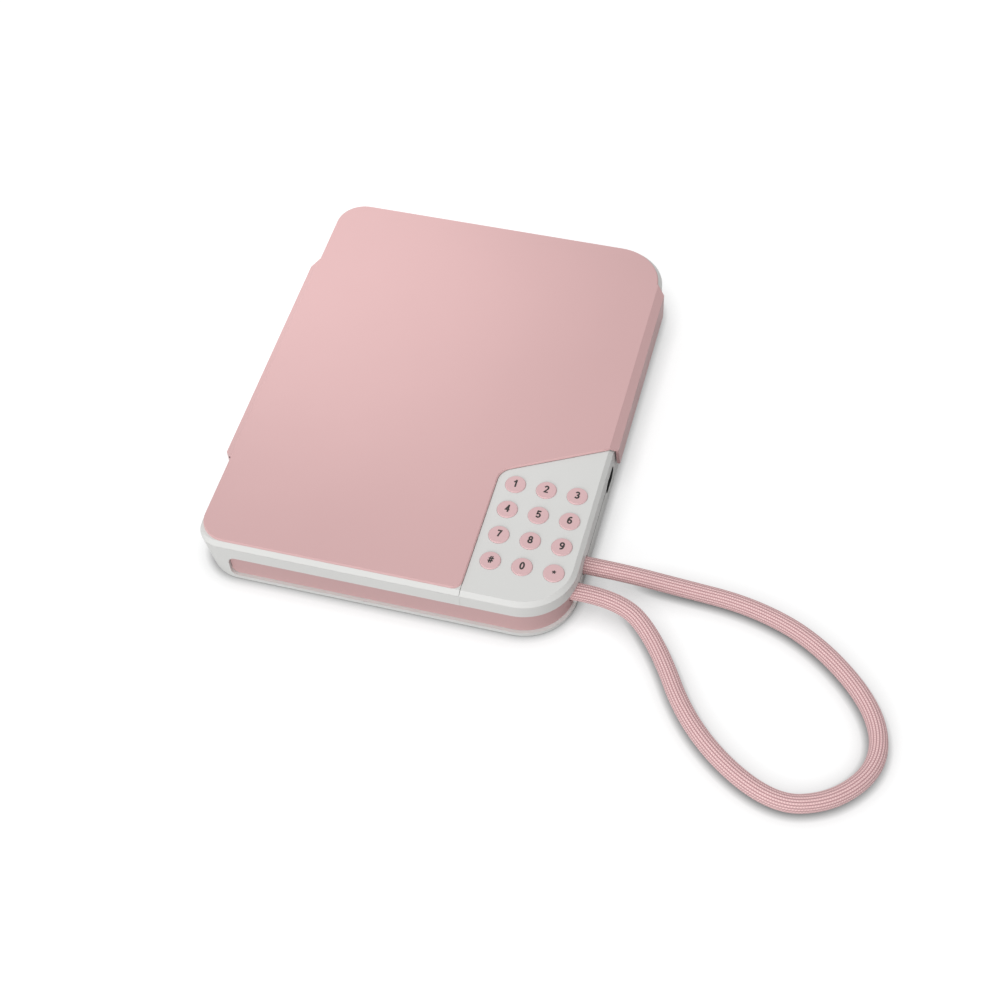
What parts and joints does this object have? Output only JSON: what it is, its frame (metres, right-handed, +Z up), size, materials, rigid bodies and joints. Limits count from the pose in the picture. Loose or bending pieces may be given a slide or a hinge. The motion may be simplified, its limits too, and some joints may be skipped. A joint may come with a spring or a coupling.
{
  "type": "electronic diary",
  "caption": "Shallow diary case with a spine-hinged wrap-over cover, a corner keypad, an electric latch, a notebook in a tub and a looped wrist strap.",
  "frame": {"origin": "on the table under the feet, in the middle of the footprint over the cover's two wings", "axes": "+Z up, +X from the spine to the opening side, +Y from the keypad's end to the back edge"},
  "size_m": [0.314, 0.2757, 0.0253],
  "materials": {
    "shell_white": "fine satin moulding",
    "cover_pink": "fine matt moulding",
    "band_pink": "fine matt moulding",
    "key_pink": "satin with printed dark grey digits",
    "foot_rubber": "matt",
    "silicone": "milky matt",
    "board_green": "solder mask",
    "steel": "plated",
    "speaker_black": "matt",
    "battery_foil": "pouch foil",
    "solenoid": "plated bracket round a wound coil",
    "magnet": "nickel plated",
    "braid": "woven braid",
    "card": "coated card",
    "paper": "page edges"
  },
  "bodies": {
    "case": {"base_shell": "shell_white", "front_trim_band": "band_pink", "rubber_feet": "foot_rubber", "case_screws": "steel", "keypad_housing": "shell_white", "keypad_membrane": "silicone", "keypad_board": "board_green", "board_screws": "steel", "inner_tray": "shell_white", "notebook_cover": "card", "notebook_pages": "paper", "main_board": "board_green", "usb_socket": "steel", "speaker": "speaker_black", "battery_cell": "battery_foil", "strap_anchor": "shell_white", "anchor_screw": "steel", "lock_solenoid": "solenoid", "hinge_pin": "steel", "wrist_strap": "braid"},
    "lid": {"lid_cover": "cover_pink", "lid_frame": "shell_white", "latch_keeper": "steel", "lid_bumpers": "silicone", "lid_magnet": "magnet"},
    "latch_bolt": {"latch_bolt": "steel"},
    "key_1": {"key_1": "key_pink"},
    "key_2": {"key_2": "key_pink"},
    "key_3": {"key_3": "key_pink"},
    "key_4": {"key_4": "key_pink"},
    "key_5": {"key_5": "key_pink"},
    "key_6": {"key_6": "key_pink"},
    "key_7": {"key_7": "key_pink"},
    "key_8": {"key_8": "key_pink"},
    "key_9": {"key_9": "key_pink"},
    "key_hash": {"key_hash": "key_pink"},
    "key_0": {"key_0": "key_pink"},
    "key_star": {"key_star": "key_pink"}
  },
  "joints": [
    {"name": "lid_hinge", "type": "hinge", "parent": "case", "child": "lid", "pos_m": [-0.0844, 0, 0.0131], "axis": [0, -1, 0], "range_deg": [0, 180]},
    {"name": "latch_slide", "type": "slide", "parent": "case", "child": "latch_bolt", "axis": [0, -1, 0], "range_m": [0, 0.004]},
    {"name": "press_1", "type": "slide", "parent": "case", "child": "key_1", "axis": [0, 0, -1], "range_m": [0, 0.00045], "stiffness_N_per_m": 600, "springref_m": -0.001},
    {"name": "press_2", "type": "slide", "parent": "case", "child": "key_2", "axis": [0, 0, -1], "range_m": [0, 0.00045], "stiffness_N_per_m": 600, "springref_m": -0.001},
    {"name": "press_3", "type": "slide", "parent": "case", "child": "key_3", "axis": [0, 0, -1], "range_m": [0, 0.00045], "stiffness_N_per_m": 600, "springref_m": -0.001},
    {"name": "press_4", "type": "slide", "parent": "case", "child": "key_4", "axis": [0, 0, -1], "range_m": [0, 0.00045], "stiffness_N_per_m": 600, "springref_m": -0.001},
    {"name": "press_5", "type": "slide", "parent": "case", "child": "key_5", "axis": [0, 0, -1], "range_m": [0, 0.00045], "stiffness_N_per_m": 600, "springref_m": -0.001},
    {"name": "press_6", "type": "slide", "parent": "case", "child": "key_6", "axis": [0, 0, -1], "range_m": [0, 0.00045], "stiffness_N_per_m": 600, "springref_m": -0.001},
    {"name": "press_7", "type": "slide", "parent": "case", "child": "key_7", "axis": [0, 0, -1], "range_m": [0, 0.00045], "stiffness_N_per_m": 600, "springref_m": -0.001},
    {"name": "press_8", "type": "slide", "parent": "case", "child": "key_8", "axis": [0, 0, -1], "range_m": [0, 0.00045], "stiffness_N_per_m": 600, "springref_m": -0.001},
    {"name": "press_9", "type": "slide", "parent": "case", "child": "key_9", "axis": [0, 0, -1], "range_m": [0, 0.00045], "stiffness_N_per_m": 600, "springref_m": -0.001},
    {"name": "press_hash", "type": "slide", "parent": "case", "child": "key_hash", "axis": [0, 0, -1], "range_m": [0, 0.00045], "stiffness_N_per_m": 600, "springref_m": -0.001},
    {"name": "press_0", "type": "slide", "parent": "case", "child": "key_0", "axis": [0, 0, -1], "range_m": [0, 0.00045], "stiffness_N_per_m": 600, "springref_m": -0.001},
    {"name": "press_star", "type": "slide", "parent": "case", "child": "key_star", "axis": [0, 0, -1], "range_m": [0, 0.00045], "stiffness_N_per_m": 600, "springref_m": -0.001}
  ]
}
